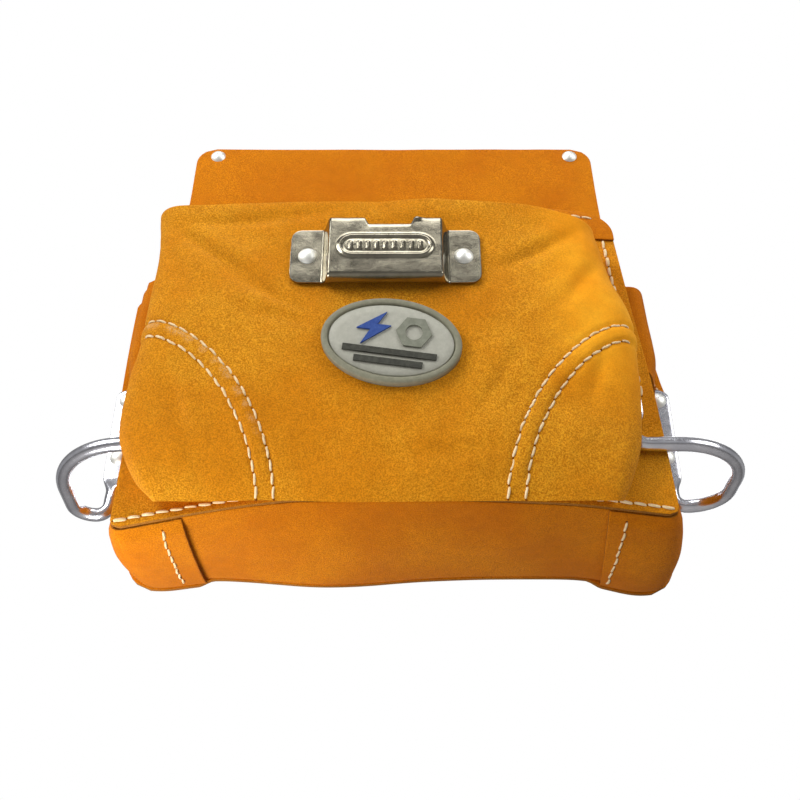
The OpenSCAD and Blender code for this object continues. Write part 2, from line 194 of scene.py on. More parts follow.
def tube_faces(rings, sides, start=0):
    """Quads between closed rings of points, and a face over each end."""
    last = start + (rings - 1) * sides
    ends = [tuple(range(start, start + sides))[::-1], tuple(range(last, last + sides))]
    return grid_faces(rings, sides, True, start) + ends


def grid_object(name, grid, flip=False):
    """A mesh object over a (rows, cols, 3) grid of points. flip turns its faces over."""
    faces = grid_faces(*grid.shape[:2])
    if flip:
        faces = [f[::-1] for f in faces]
    return mesh_object(name, grid.reshape(-1, 3), faces)


def mark_points(obj, name, values):
    """Stores a number on each of a mesh's points, for its material."""
    layer = obj.data.attributes.new(name, "FLOAT", "POINT")
    layer.data.foreach_set("value", np.ascontiguousarray(values, np.float32).ravel())


def grid_normals(grid):
    """Unit normals of a grid, by its differences."""
    du = np.gradient(grid, axis=1)
    dv = np.gradient(grid, axis=0)
    n = np.cross(du, dv)
    return n / np.maximum(np.linalg.norm(n, axis=2, keepdims=True), 1e-9)


def soften(obj, width, from_degrees):
    """Rounds the edges sharper than an angle."""
    soft = obj.modifiers.new("SoftEdge", "BEVEL")
    soft.width = width * MM
    soft.segments = 2
    soft.limit_method = "ANGLE"
    soft.angle_limit = math.radians(from_degrees)


def thicken(obj, thickness=LEATHER_T, edge_material=1, bevel=0.5):
    """Leather thickness inwards from the outer surface, with softened raw edges."""
    solid = obj.modifiers.new("Thickness", "SOLIDIFY")
    solid.thickness = thickness * MM
    solid.offset = -1
    solid.use_even_offset = False
    solid.material_offset_rim = edge_material
    soften(obj, bevel, 50)
    return obj


def surface_tree(*objs):
    """A tree for finding the outer surface of finished objects, in metres."""
    graph = bpy.context.evaluated_depsgraph_get()
    points, faces = [], []
    for obj in objs:
        mesh = obj.evaluated_get(graph).to_mesh()
        start = len(points)
        points += [v.co.copy() for v in mesh.vertices]
        faces += [[start + i for i in p.vertices] for p in mesh.polygons]
    return BVHTree.FromPolygons(points, faces)


CAST_FROM = 0.2            # how far off the surface a ray starts, in metres


def drape(points, direction, tree):
    """Moves points along direction onto the surface. Returns points and normals in
    pouch millimetres, dropping the ones that miss."""
    d = Vector(direction).normalized()
    hits, normals = [], []
    for p in place(points):
        where, normal, _, _ = tree.ray_cast(Vector(p) - d * CAST_FROM, d)
        if where is None:
            continue
        if normal.dot(d) > 0:
            normal = -normal
        hits.append((np.array(where) - np.array([0, REAR_Y, BOTTOM_Z])) / MM)
        normals.append(np.array(normal))
    return np.array(hits), np.array(normals)


# ---- Materials ----

def set_ramp(colour_ramp, stops):
    """Stops are positions and grey levels, from the lowest position to the highest."""
    for element, (position, level) in zip(colour_ramp.elements, (stops[0], stops[-1])):
        element.position, element.color = position, grey(level)
    for position, level in stops[1:-1]:
        colour_ramp.elements.new(position).color = grey(level)


class Nodes:
    """A short way to write a node tree."""

    def __init__(self, name):
        self.material = bpy.data.materials.new(name)
        self.material.use_nodes = True
        self.tree = self.material.node_tree
        self.shader = self.tree.nodes["Principled BSDF"]
        self.coords = self.add("ShaderNodeTexCoord").outputs["Object"]

    def add(self, kind, **settings):
        node = self.tree.nodes.new(kind)
        for key, value in settings.items():
            setattr(node, key, value)
        return node

    def link(self, a, b):
        self.tree.links.new(a, b)

    def noise(self, size_mm, detail=3.0, roughness=0.55, stretch=None):
        """Noise whose features are about size_mm across."""
        n = self.add("ShaderNodeTexNoise")
        n.inputs["Scale"].default_value = 1 / (size_mm * MM)
        n.inputs["Detail"].default_value = detail
        n.inputs["Roughness"].default_value = roughness
        source = self.coords
        if stretch:
            mapping = self.add("ShaderNodeMapping")
            mapping.inputs["Scale"].default_value = stretch
            self.link(self.coords, mapping.inputs["Vector"])
            source = mapping.outputs["Vector"]
        self.link(source, n.inputs["Vector"])
        return n.outputs["Fac"]

    def ramp(self, source, stops):
        """Turns a value into a grey level."""
        r = self.add("ShaderNodeValToRGB")
        set_ramp(r.color_ramp, stops)
        self.link(source, r.inputs["Fac"])
        return r.outputs["Color"]

    def mix(self, factor, a, b, mode="MIX"):
        """Mixes two colours, or grey levels."""
        m = self.add("ShaderNodeMix", data_type="RGBA", blend_type=mode)
        self.put(factor, m.inputs[0])
        for value, socket in ((a, m.inputs[6]), (b, m.inputs[7])):
            self.put(grey(value), socket)
        return m.outputs[2]

    def put(self, value, socket):
        """Links or sets a socket."""
        if isinstance(value, bpy.types.NodeSocket):
            self.link(value, socket)
        else:
            socket.default_value = value

    def times(self, a, b, plus=0.0):
        """a * b + plus."""
        m = self.add("ShaderNodeMath", operation="MULTIPLY_ADD" if plus else "MULTIPLY")
        for value, socket in zip((a, b, plus), m.inputs):
            self.put(value, socket)
        return m.outputs[0]

    def bump(self, height, distance_mm, strength, normal=None):
        """A bumped normal, laid over another one if given."""
        b = self.add("ShaderNodeBump")
        self.put(strength, b.inputs["Strength"])
        b.inputs["Distance"].default_value = distance_mm * MM
        self.link(height, b.inputs["Height"])
        if normal is not None:
            self.link(normal, b.inputs["Normal"])
        return b.outputs["Normal"]

    def finish(self, colour, normal, **values):
        """Sets the shader, and returns the material."""
        names = {
            "roughness": "Roughness", "metallic": "Metallic", "sheen": "Sheen Weight",
            "sheen_roughness": "Sheen Roughness", "specular": "Specular IOR Level",
        }
        for key, value in values.items():
            self.put(value, self.shader.inputs[names[key]])
        self.put(colour, self.shader.inputs["Base Color"])
        self.link(normal, self.shader.inputs["Normal"])
        return self.material


def grey(value):
    """A number as a grey colour. Sockets and colours pass through."""
    return (value, value, value, 1) if isinstance(value, (int, float)) else value


def srgb(code):
    """Linear colour from an sRGB hex code."""
    parts = [int(code[i:i + 2], 16) / 255 for i in (0, 2, 4)]
    return (*(c / 12.92 if c <= 0.04045 else ((c + 0.055) / 1.055) ** 2.4 for c in parts), 1)


def suede_material(name, light, middle, dark, nap=1.0, depth=1.0):
    """Split suede: a fine pebbled nap over broad, uneven dye. The nap's pits are darkened, partly its own
    mottling and partly painted shade in the hollows of the grain bump.
    Points marked rub are chalky. Points marked calm_and_highlight have their nap brushed flat, with less pit
    shade and bump, which lightens them: partly smoother nap, partly a painted highlight."""
    n = Nodes(name)
    dye = n.ramp(n.noise(42, 5, 0.55), [(0.38, 0.0), (0.62, 1.0)])
    tone = n.mix(dye, srgb(middle), srgb(light))
    # This mask lessens the pit shade and bump: smoother nap, and a painted highlight where it lightens the
    # colour.
    calm_and_highlight = n.add("ShaderNodeAttribute", attribute_name="calm_and_highlight").outputs["Fac"]
    lively = n.times(calm_and_highlight, -0.75, plus=1.0)
    grain = n.noise(0.72 * nap, 5, 0.7)
    # Painted shade: where the grain bump is low, the nap's hollows are darkened, over the nap's own mottling.
    pit_shade = n.ramp(grain, [(0.42, 1.0), (0.58, 0.0)])
    tone = n.mix(n.times(pit_shade, lively), tone, srgb(dark))
    patches = n.ramp(n.noise(6, 5, 0.7), [(0.34, 0.88), (0.62, 1.0)])
    tone = n.mix(0.8, tone, patches, "MULTIPLY")
    rub = n.add("ShaderNodeAttribute", attribute_name="rub").outputs["Fac"]
    chalky = n.ramp(n.noise(0.9, 4, 0.7), [(0.42, 0.0), (0.56, 1.0)])
    tone = n.mix(n.times(rub, chalky), tone, srgb("EEC48C"))
    normal = n.bump(n.noise(0.4 * nap, 3, 0.65), 0.3 * depth, n.times(lively, 0.6))
    normal = n.bump(grain, 1.1 * depth, n.times(lively, 0.9), normal)
    return n.finish(tone, normal, roughness=0.96, specular=0.06, sheen=0.05, sheen_roughness=0.5)


def thread_material():
    """Cream waxed thread, laid in a twist."""
    n = Nodes("thread_cream")
    tone = n.mix(n.ramp(n.noise(2.2, 3), [(0.3, 0.0), (0.7, 1.0)]), srgb("E6C68C"), srgb("FFE9BE"))
    twist = n.add("ShaderNodeTexWave", wave_type="BANDS", bands_direction="DIAGONAL")
    twist.inputs["Scale"].default_value = 1 / (1.3 * MM)
    twist.inputs["Distortion"].default_value = 0.4
    n.link(n.coords, twist.inputs["Vector"])
    normal = n.bump(twist.outputs["Fac"], 0.2, 0.7)
    return n.finish(tone, normal, roughness=0.62, specular=0.35, sheen=0.15)


def hole_shadow_material():
    """Painted shadow in a needle hole: dark brown standing in for the shade where a needle went through."""
    n = Nodes("needle_hole_painted_shadow")
    tone = n.mix(n.noise(0.8, 2), srgb("7A3C08"), srgb("A85E10"))
    return n.finish(tone, n.bump(n.noise(0.4, 2), 0.2, 0.5), roughness=0.95, specular=0.1)


def metal_material(name, tone, dull, roughness, scratch=1.0):
    """Plated steel: faint cloudiness, fine scratches and a few dull spots."""
    n = Nodes(name)
    cloud = n.ramp(n.noise(9, 4, 0.6), [(0.35, 0.0), (0.7, 1.0)])
    colour = n.mix(cloud, srgb(dull), srgb(tone))
    scratches = n.noise(0.5, 6, 0.7, stretch=(0.08, 1, 1))
    rough = n.times(n.noise(3, 5, 0.65), 0.22, plus=roughness - 0.08)
    normal = n.bump(scratches, 0.05, 0.25 * scratch)
    normal = n.bump(n.noise(6, 2), 0.35, 0.22, normal)
    return n.finish(colour, normal, metallic=1.0, roughness=rough)


def rubber_material(name, tone, worn):
    """Moulded rubber: matt, slightly dusty, finely pebbled."""
    n = Nodes(name)
    dust = n.ramp(n.noise(2.2, 5, 0.7), [(0.4, 0.0), (0.75, 1.0)])
    colour = n.mix(dust, srgb(tone), srgb(worn))
    normal = n.bump(n.noise(0.5, 3, 0.6), 0.12, 0.5)
    return n.finish(colour, normal, roughness=0.62, specular=0.35)


SUEDE = suede_material("suede_front", "FCB228", "F09A16", "D07C0A")
# A smoother, flatter-napped suede for the gusset, band, back panel and sleeves. Its darker, deeper orange tones
# are painted shade.
SUEDE_SMOOTH_SHADED = suede_material("suede_smooth_painted_shade", "E8900F", "D67A08", "C46A06", nap=0.8, depth=0.6)
SUEDE_EDGE = suede_material("suede_cut_edge", "D68E2E", "BE7A22", "9A5C14", nap=0.6)
THREAD = thread_material()
# The needle holes' dark colour is painted shadow.
HOLE_SHADOW = hole_shadow_material()
CLIP_STEEL = metal_material("clip_nickel", "A29C8A", "8A8474", 0.18)
LOOP_STEEL = metal_material("loop_nickel", "F2F2F8", "DCDCE4", 0.2, scratch=0.4)
RIVET_STEEL = metal_material("rivet_nickel", "FFFFFA", "F2F2EA", 0.5)
BADGE_RUBBER = rubber_material("badge_rubber", "A9A89B", "B6B5A8")
BADGE_RIM = rubber_material("badge_rim", "7E7C68", "8E8C78")
ICON_BLUE = rubber_material("icon_blue", "23428A", "3C5A9E")
ICON_GREY = rubber_material("icon_grey", "77796A", "8B8D7E")
ICON_DARK = rubber_material("icon_dark", "34342C", "4C4C42")

# ---- Camera ----

CAMERA_LOW = 33.0          # degrees below the pouch's level
CAMERA_AWAY = 480.0        # from the front pocket's bottom fold
CAMERA_RAISED = 44.4       # above the line to the fold, square to the view
FOLD_X, FOLD_STAND, FOLD_Z = 4.0, 12.4, 3.0
LENS_MM = 48.6
SENSOR_MM = 36.0


def add_camera():
    """Below and in front of the pouch, looking up at its front."""
    low = math.radians(CAMERA_LOW)
    ahead = np.array([0, math.cos(low), math.sin(low)])
    up = np.array([0, -math.sin(low), math.cos(low)])
    fold = np.array([FOLD_X, FACE_Y - FOLD_STAND, FOLD_Z])
    eye = fold - CAMERA_AWAY * ahead + CAMERA_RAISED * up
    data = bpy.data.cameras.new("camera")
    data.lens = LENS_MM
    data.sensor_width = SENSOR_MM
    data.clip_start = 0.01
    cam = bpy.data.objects.new("camera", data)
    bpy.context.scene.collection.objects.link(cam)
    cam.location = place(eye)
    cam.rotation_euler = (math.radians(90 + CAMERA_LOW), 0, 0)
    bpy.context.scene.camera = cam


# ---- Main pocket ----

MAIN_HALF_W = 129.5
MAIN_MOUTH_HALF_W = 117.0
FACE_CORNER_R, MOUTH_CORNER_R = 5.0, 14.0
BELLY = 2.0                # how far the face bulges at its middle
BAND_H, BAND_T = 18.0, 1.4
SETTLE_Z = 30.0            # the bottom edges' sag has died out at this height


def face_lift(x):
    """How far the main face's lower edge rises from its corners towards its middle."""
    return through([-130, -65, -40, 20, 75, 132], [-5.5, 7.0, 9.5, 10.0, 8.0, 1.5], x)


def face_skew(z):
    """How far the main face leans to the right at height z, most at its bottom."""
    return 2.0 * (1 - z / MAIN_MOUTH_Z)


def mouth_shift(x):
    """How far the main pocket's mouth waves up, or sags towards its right end."""
    return 1.6 * lumps(flat(x), 40, 8.0) - 5.0 * smooth((x - 70) / 45)


def face_half_width(z):
    """Half the width of the main face at height z."""
    side = through([0, 60, 130, 188], [MAIN_HALF_W, 127, 121, MAIN_MOUTH_HALF_W], z)
    turn = FACE_CORNER_R * quarter(z / FACE_CORNER_R)
    return side - turn - MOUTH_CORNER_R * quarter((MAIN_MOUTH_Z - z) / MOUTH_CORNER_R)


def face_y(x, z):
    """The main face's front surface, with its soft unevenness."""
    belly = np.cos(np.clip(x / 130, -1, 1) * 1.5) * np.sin(np.clip(z / MAIN_MOUTH_Z, 0, 1) * 3.0)
    return FACE_Y - BELLY * belly + 0.5 * lumps(flat(x, z), 45, 3.1)


def make_main_face():
    """The main pocket's front, which the front pocket is sewn on."""
    v, u = sheet(96, 150)
    z = v * MAIN_MOUTH_Z + 0 * u
    x = u * face_half_width(z) + face_skew(z)
    z = z + face_lift(x) * (1 - v) ** 2 + mouth_shift(x) * smooth((v - 0.6) / 0.4)
    obj = thicken(grid_object("main_pocket_face", np.stack([x, face_y(x, z), z], -1)))
    return finish_object(obj, [SUEDE, SUEDE_EDGE], "suede", "main_pocket_face")


def make_mouth_band():
    """A folded band sewn along the main pocket's mouth."""
    v, u = sheet(20, 150)
    z = MAIN_MOUTH_Z - BAND_H + (BAND_H + 0.6) * v + 0 * u
    x = u * (face_half_width(np.minimum(z, MAIN_MOUTH_Z)) + 0.3)
    z = z + mouth_shift(x)
    puff = 1.3 + 0.7 * np.sin(v * math.pi) ** 0.5
    obj = thicken(grid_object("main_mouth_band", np.stack([x, face_y(x, z) - puff, z], -1)), BAND_T)
    return finish_object(obj, [SUEDE_SMOOTH_SHADED, SUEDE_EDGE], "suede", "main_mouth_band")


# ---- Front pocket ----

ATTACH_Z = 11.0            # where the front pocket's floor meets the face
ATTACH_HALF_W = 100.0


def pocket_left(z):
    """How far left of the middle the front pocket reaches at height z."""
    return through([0, 12, 34, 60, 92, 125, 162], [104, 113, 122.5, 121, 117.5, 117, 118], z)


def pocket_right(z):
    """The same, to the right."""
    return through([0, 12, 34, 60, 95, 120, 162], [103, 107, 114.5, 117.5, 116.5, 109.5, 103], z)


def pocket_depth(z):
    """How far the front pocket stands off the main face, at its middle."""
    return through([0, 3, 8, 40, 80, 115, 162], [11.5, 12.6, 15, 24.5, 30.7, 32.6, 32.8], z)


def plan_row(z_front, depth, n):
    """One level curve round the front pocket, left seam to right seam, in x and depth."""
    grow = np.clip(depth / pocket_depth(z_front), 0, 1)
    wide_left = ATTACH_HALF_W + (pocket_left(z_front) - ATTACH_HALF_W) * grow
    wide_right = ATTACH_HALF_W + (pocket_right(z_front) - ATTACH_HALF_W) * grow

    def side(w, forward, fullness):
        """Control points from the seam out, forwards and round on to the front."""
        r = (0.75 * depth + 4) * (0.3 + 0.7 * smooth(z_front / 45)) * fullness
        return [
            (ATTACH_HALF_W, 0), (ATTACH_HALF_W + 0.7 * (w - ATTACH_HALF_W), 0.10 * depth),
            (w + 1.5 * grow, (0.36 + forward) * depth), (w + 1.5 * grow, (0.62 + forward) * depth),
            (w - 0.20 * r, (0.88 + 0.5 * forward) * depth), (w - 0.62 * r, 0.985 * depth),
            (w - 1.5 * r, depth), (w * 0.45, depth + 0.8 * grow),
        ]

    left = [(-x, d) for x, d in side(wide_left, 0.12, 0.7)]
    right = side(wide_right, 0.0, 1.0)[::-1]
    return bspline(left + [(0, depth + 1.2 * grow)] + right, n)


# Each corner has two curved seam rows about one point, flattened quarter rounds.
SEAM_X, SEAM_Z = 118.0, 2.0
SEAM_POWER = 1.7
OUTER_ROW = (66.0, 88.0)   # width and height
INNER_ROW = (58.0, 79.5)


def seam_curve(side, wide, high):
    """A corner seam row in x and z."""
    n = 160
    a = np.linspace(0, math.pi / 2, n)
    x = SEAM_X - wide * np.cos(a) ** (2 / SEAM_POWER)
    z = SEAM_Z + high * np.sin(a) ** (2 / SEAM_POWER)
    return resample(np.stack([side * x, z], 1), n)


def seam_reach(x, z, wide, high):
    """Signed distance from a seam row, about right near it: positive away from the corner."""
    dx = np.maximum(SEAM_X - np.abs(x), 0) / wide
    dz = np.maximum(z - SEAM_Z, 0) / high
    q = (dx**SEAM_POWER + dz**SEAM_POWER) ** (1 / SEAM_POWER)
    return (q - 1) * 0.5 * (wide + high)


# Soft creases that handling has left: middle (x, z), length, turn in degrees and depth.
CREASES = [
    (-86, 128, 26, -38, 2.4), (-62, 106, 26, -30, 1.8), (-104, 118, 16, -60, 1.4), (74, 132, 22, 32, 1.8),
    (92, 112, 20, 55, 1.5), (-30, 60, 20, 18, 0.9), (-52, 90, 24, -12, 1.0), (52, 60, 22, 60, 0.9),
    (96, 60, 16, 75, 1.2), (-98, 44, 16, -70, 1.3), (20, 22, 40, 3, 0.7), (-70, 150, 30, 4, 1.4),
]
SEAM_PULL = 0.75           # how deep the thread pulls the leather in
PRESS_MARGIN = 12.0        # the leather lies flat under the clip and badge, and rises this far out


def front_relief(x, z):
    """How far the front pocket's leather stands proud of its smooth form, in mm."""
    p = flat(x, z)
    relief = 2.2 * lumps(p, 60, 1.7) + 1.1 * lumps(p, 24, 5.2) + 0.2 * lumps(p, 7, 9.4)
    outer = seam_reach(x, z, *OUTER_ROW)
    inner = seam_reach(x, z, *INNER_ROW)
    between = smooth((0.5 - outer) / 2.0) * smooth((inner + 0.5) / 2.0)
    relief += SEAM_PULL * (between - hump(outer, 0, 1.3) - hump(inner, 0, 1.3))
    relief += 0.35 * hump(outer, 3.5, 3.0) - 0.5 * hump(inner, -7.0, 6.0) * smooth(z / 40)
    for cx, cz, length, turn, deep in CREASES:
        c, s = math.cos(math.radians(turn)), math.sin(math.radians(turn))
        along = (x - cx) * c + (z - cz) * s
        across = -(x - cx) * s + (z - cz) * c - 0.002 * along**2
        relief -= deep * np.exp(-((along / length) ** 2)) * (hump(across, 0, 3.5) - 0.55 * hump(across, 7, 5))
    pressed = 0 * x
    for low, high in (extent("tape_clip"), extent("badge_plate")):
        out_x = np.maximum(np.maximum(low[0] - x, x - high[0]), 0)
        out_z = np.maximum(np.maximum(low[2] - z, z - high[2]), 0)
        pressed = np.maximum(pressed, 1 - smooth(np.hypot(out_x, out_z) / PRESS_MARGIN))
    return relief * (1 - pressed) - 0.15 * pressed


def front_grid():
    """The front pocket's outer surface, from the floor's seam round the fold to the mouth."""
    floor = [(0.3, ATTACH_Z), (3.2, 9.2), (6.2, 7.1), (9.0, 5.0), (10.8, 3.5), (11.9, 2.5)]
    rise = np.concatenate([[2.3, 3.2, 4.4], np.linspace(5.8, FRONT_MOUTH_Z, 118)])
    grid = []
    for depth, z_front in floor + [(float(pocket_depth(z)), z) for z in rise]:
        x, d = plan_row(z_front, depth, 250).T
        lift = max(0.0, ATTACH_Z + 0.12 * z_front - z_front)
        z = z_front + lift * (1 - np.clip(d / depth, 0, 1)) ** 1.3
        grid.append(np.stack([x, FACE_Y - d, z], 1))
    grid = np.array(grid)
    # The fold hangs in a shallow, uneven line, and the mouth waves.
    x, z = grid[..., 0], grid[..., 2]
    low = smooth((26 - z) / 26)
    grid[..., 2] += low * (0.9 * lumps(flat(x), 34, 2.2) - 0.6 * hump(x, 10, 70))
    high = smooth((z - 110) / 52)
    grid[..., 2] += high * (1.4 * lumps(flat(x), 46, 6.1) - 7.0 * smooth((x - 60) / 40))
    grid[..., 1] += high * 1.2 * lumps(flat(x), 55, 7.7)
    proud = smooth((z - 3) / 16)
    proud[:len(floor)] = 0
    grid += grid_normals(grid) * (front_relief(x, z) * proud)[..., None]
    # The main face bulges behind, so the sewn edges follow it.
    sewn = 1 - np.clip((FACE_Y - grid[..., 1]) / 12, 0, 1)
    grid[..., 1] += sewn * (face_y(grid[..., 0], grid[..., 2]) - FACE_Y)
    return grid


def make_front_pocket():
    """The front pocket's face, let-in corners and floor, as one sheet."""
    grid = front_grid()
    obj = grid_object("front_pocket", grid)
    # Pale marks rubbed into the left corner, just inside its outer seam row.
    x, y, z = np.moveaxis(grid, -1, 0)
    streaks = smooth((lumps(flat(x, z), 4.5, 8.8) + 0.15) / 0.3)
    where = (x < -20) * smooth((z - 20) / 30) * (y < FACE_Y - 14)
    mark_points(obj, "rub", 0.65 * hump(seam_reach(x, z, *OUTER_ROW), -2.2, 1.5) * streaks * where)
    # The upper right corner, where hands brush past, has smoother nap and less pit shade, so it is lighter:
    # partly real smoothing, partly a painted highlight.
    mark_points(obj, "calm_and_highlight", smooth((x - 62) / 36) * smooth((z - 30) / 50))
    thicken(obj)
    return finish_object(
        obj, [SUEDE, SUEDE_EDGE], "suede",
        "front_pocket_face", "front_pocket_corner_left", "front_pocket_corner_right", "front_pocket_gusset",
    )


# ---- Back panel and tunnel ----

BACK_CORNER_R = 12.0       # at its bottom and top
# The back panel's outline on each side: heights, and how far it reaches there.
WING_LEFT = ([0, 22, 46, 60, 120, 170, 175, 188, 193, 217, 235, 300],
             [132.5, 135, 147, 150.5, 151, 150, 147, 146, 139, 132, 129, 127])
WING_RIGHT = ([0, 22, 46, 60, 100, 119, 158, 180, 184, 217, 235, 300],
              [141.5, 142, 149, 152.5, 152.5, 149.5, 144.5, 143.5, 139, 132, 129, 127])


def back_half_width(z, side):
    """How far the back panel reaches at height z, on the side -1 or 1."""
    reach = through(*(WING_LEFT if side < 0 else WING_RIGHT), z)
    return reach - BACK_CORNER_R * (quarter(z / BACK_CORNER_R) + quarter((BACK_TOP_Z - z) / BACK_CORNER_R))


def make_back_panel():
    """The panel behind everything, with its wings and a loose upper part."""
    v, u = sheet(130, 130)
    z = v * BACK_TOP_Z + 0 * u
    x = u * np.where(u < 0, back_half_width(z, -1), back_half_width(z, 1))
    p = flat(x, z)
    loose = smooth((z - 190) / 60) * smooth((240 - z) / 60)
    y = 0.8 * lumps(p, 60, 4.4) + 0.3 * lumps(p, 22, 2.4) + 0.6 * loose
    y = np.minimum(y * (1 - smooth((np.abs(x) - 136) / 10)), 0.6)
    # The bottom edge follows the gusset's rear edge, and its laps.
    lapped = smooth((LAP_LEFT + 4 - x) / 8) + smooth((x - LAP_RIGHT + 4) / 8)
    z = z + settled(rear_sag(x) - 0.5 - (LEATHER_T + 0.3) * lapped, z)
    obj = thicken(grid_object("back_panel", np.stack([x, y, z], -1), flip=True))
    return finish_object(obj, [SUEDE_SMOOTH_SHADED, SUEDE_EDGE], "suede", "back_panel")


def make_belt_tunnel():
    """A leather strip sewn along its top and bottom, bowed out for the belt."""
    (_, _, low), (half_w, outer, high) = extent("belt_tunnel")
    seam_y, step_y = LEATHER_T + 0.4, LEATHER_T + 0.6
    rise = [(seam_y, 0), (seam_y, 6), (step_y, 9), (outer - 0.6, 15), (outer, 24)]
    lower = [(y, low + up) for y, up in rise]
    upper = [(y, high - up) for y, up in rise[::-1]]
    section = bspline([*lower, (outer, (low + high) / 2), *upper], 60)
    x = half_w * np.linspace(-1, 1, 110)[None, :] + np.zeros((len(section), 1))
    y, z = section[:, :1] + 0 * x, section[:, 1:] + 0 * x
    y = y - smooth((y - 4) / 5) * (0.5 + 0.5 * lumps(flat(x, z), 40, 6.6))
    z = z + 0.6 * lumps(flat(x), 50, 1.1)
    obj = thicken(grid_object("belt_tunnel", np.stack([x, y, z], -1), flip=True))
    return finish_object(obj, [SUEDE, SUEDE_EDGE], "suede", "belt_tunnel")


# ---- Gusset ----

LAP_LEFT, LAP_RIGHT = -93.0, 101.0     # where the corner strips' edges cross the bottom
LAP_UNDER = 12             # columns that the central strip runs on under them
# Columns from a lap to where its step starts to die out, and from there to its end.
LAP_FLAT, LAP_FADE = 15, 25


def settled(sag, z):
    """A sag of the bottom edge, dying out upwards."""
    return sag * smooth((SETTLE_Z - z) / 25)


def edge_path(left_w, right_w, mouth_w, r, sag, n):
    """Left mouth, down, along the bottom and up to the right mouth, in x and z. r is the
    radius of its bottom corners."""
    halves = []
    for half_w in (left_w, right_w):
        halves.append(np.vstack([
            np.stack([np.linspace(0, half_w - r, 40), np.zeros(40)], 1),
            arc(half_w - r, r, r, -88, 0, 16),
            np.stack([np.linspace(half_w, mouth_w, 60)[1:], np.linspace(r, MAIN_MOUTH_Z - 8, 60)[1:]], 1),
        ]))
    path = resample(np.vstack([halves[0][::-1] * [-1, 1], halves[1][1:]]), n)
    path[:, 1] += settled(sag(path[:, 0]), path[:, 1])
    return path


def rear_sag(x):
    """The gusset's rear edge hangs unevenly."""
    return -4.5 * hump(x, -30, 42) - 6.0 * hump(x, 124, 20) - 3.5 * hump(x, -116, 18) - 0.6


def gusset_grid():
    """The gusset's outer surface and its normals: rows run from the front seam to the
    back, columns along it."""
    cols, rows = 420, 34
    front = edge_path(MAIN_HALF_W - 2.6, MAIN_HALF_W + 1.2, MAIN_MOUTH_HALF_W, 4.0, face_lift, cols)
    rear = edge_path(129.0, 140.0, 127.0, 11.0, rear_sag, cols)
    back = np.linspace(0, 1, rows)[:, None]
    x, z = np.moveaxis(front * (1 - back[..., None]) + rear * back[..., None], -1, 0)
    y = (FACE_Y + LEATHER_T - 0.2) * (1 - back) - LEATHER_T * back + 0 * x
    grid = np.stack([x, y, z], -1)
    normals = -grid_normals(grid)
    crown = np.sin(back * math.pi)
    puff = 2.6 * np.abs(crown) ** 0.8 + (1.1 * lumps(grid, 42, 3.9) + 0.35 * lumps(grid, 15, 7.1)) * crown
    return grid + normals * puff[..., None], normals


def make_gusset():
    """Central strip, and two corner strips that lap over it."""
    grid, normals = gusset_grid()
    # The front seam presses the laps down.
    settle = 0.3 + 0.7 * smooth(np.linspace(0, 1, len(grid)) / 0.12)
    middle = grid[len(grid) // 2]
    low = middle[:, 2] < 12
    left = int(np.argmax(low & (middle[:, 0] > LAP_LEFT)))
    right = int(np.argmax(low & (middle[:, 0] > LAP_RIGHT)))
    column = np.arange(grid.shape[1])
    objs = []
    for name, cut, past_lap in (
        ("main_gusset_bottom", slice(left - LAP_UNDER, right + LAP_UNDER), None),
        ("main_gusset_left", slice(0, left), left - column),
        ("main_gusset_right", slice(right, None), column - right),
    ):
        part = grid
        if past_lap is not None:
            step = (LEATHER_T + 0.25) * smooth((LAP_FLAT + LAP_FADE - past_lap) / LAP_FADE)
            part = grid + normals * (settle[:, None] * step)[..., None]
        obj = thicken(grid_object(name, part[:, cut], flip=True))
        objs.append(finish_object(obj, [SUEDE_SMOOTH_SHADED, SUEDE_EDGE], "suede", name))
    return objs


# ---- Sleeves ----

def make_sleeve(name, foot, top, out, across, half_w, proud):
    """A half-round tool sleeve from foot up to top. out points away from the leather it
    is sewn on, and across runs along that leather."""
    foot, top, out, across = (np.array(a, float) for a in (foot, top, out, across))
    v = np.linspace(0, 1, 50)[:, None, None]
    a = np.linspace(0, math.pi, 44)[None, :, None]
    open_up = 0.55 + 0.45 * smooth(v / 0.35)
    flange = np.sign(np.cos(a)) * np.abs(np.cos(a)) ** 0.6
    grid = (
        foot * (1 - v) + top * v
        + across * half_w * flange * (0.86 + 0.14 * open_up)
        + out * (0.4 + proud * open_up * np.sin(a) ** 0.55)
    )
    grid[..., 2] += (7 * (1 - v) ** 5 * np.abs(np.cos(a)) ** 1.6)[..., 0]
    grid += out * 0.56 * lumps(grid, 22, 4.0)[..., None]
    grid[..., 2] -= (1.2 * v**4 * np.sin(a))[..., 0]
    turned = np.dot(np.cross(across, [0, 0, 1]), out) < 0
    obj = thicken(grid_object(name, grid, flip=turned), 2.0)
    finish_object(obj, [SUEDE_SMOOTH_SHADED, SUEDE_EDGE], "suede", name)


def make_sleeves():
    """Two tool sleeves at each side, one on the side strip and one on the wing."""
    for side, word in ((-1, "left"), (1, "right")):
        name = f"side_sleeve_{word}"
        low, high = extent(name)
        make_sleeve(
            name, foot=(side * 127.5, -38, low[2]), top=(side * 124.2, -38, high[2]),
            out=(side, -0.1, 0), across=(0.1 * side, 1, 0), half_w=18.0, proud=8.5,
        )
        name = f"wing_sleeve_{word}"
        low, high = extent(name)
        tuck = 3.0 if side > 0 else 0.0
        make_sleeve(
            name,
            foot=(side * 137.5 - tuck, -LEATHER_T, low[2]), top=(side * 135 - tuck, -LEATHER_T, high[2]),
            out=(0, -1, 0), across=(side, 0, 0), half_w=9.0, proud=9.0,
        )


# ---- Metal ----

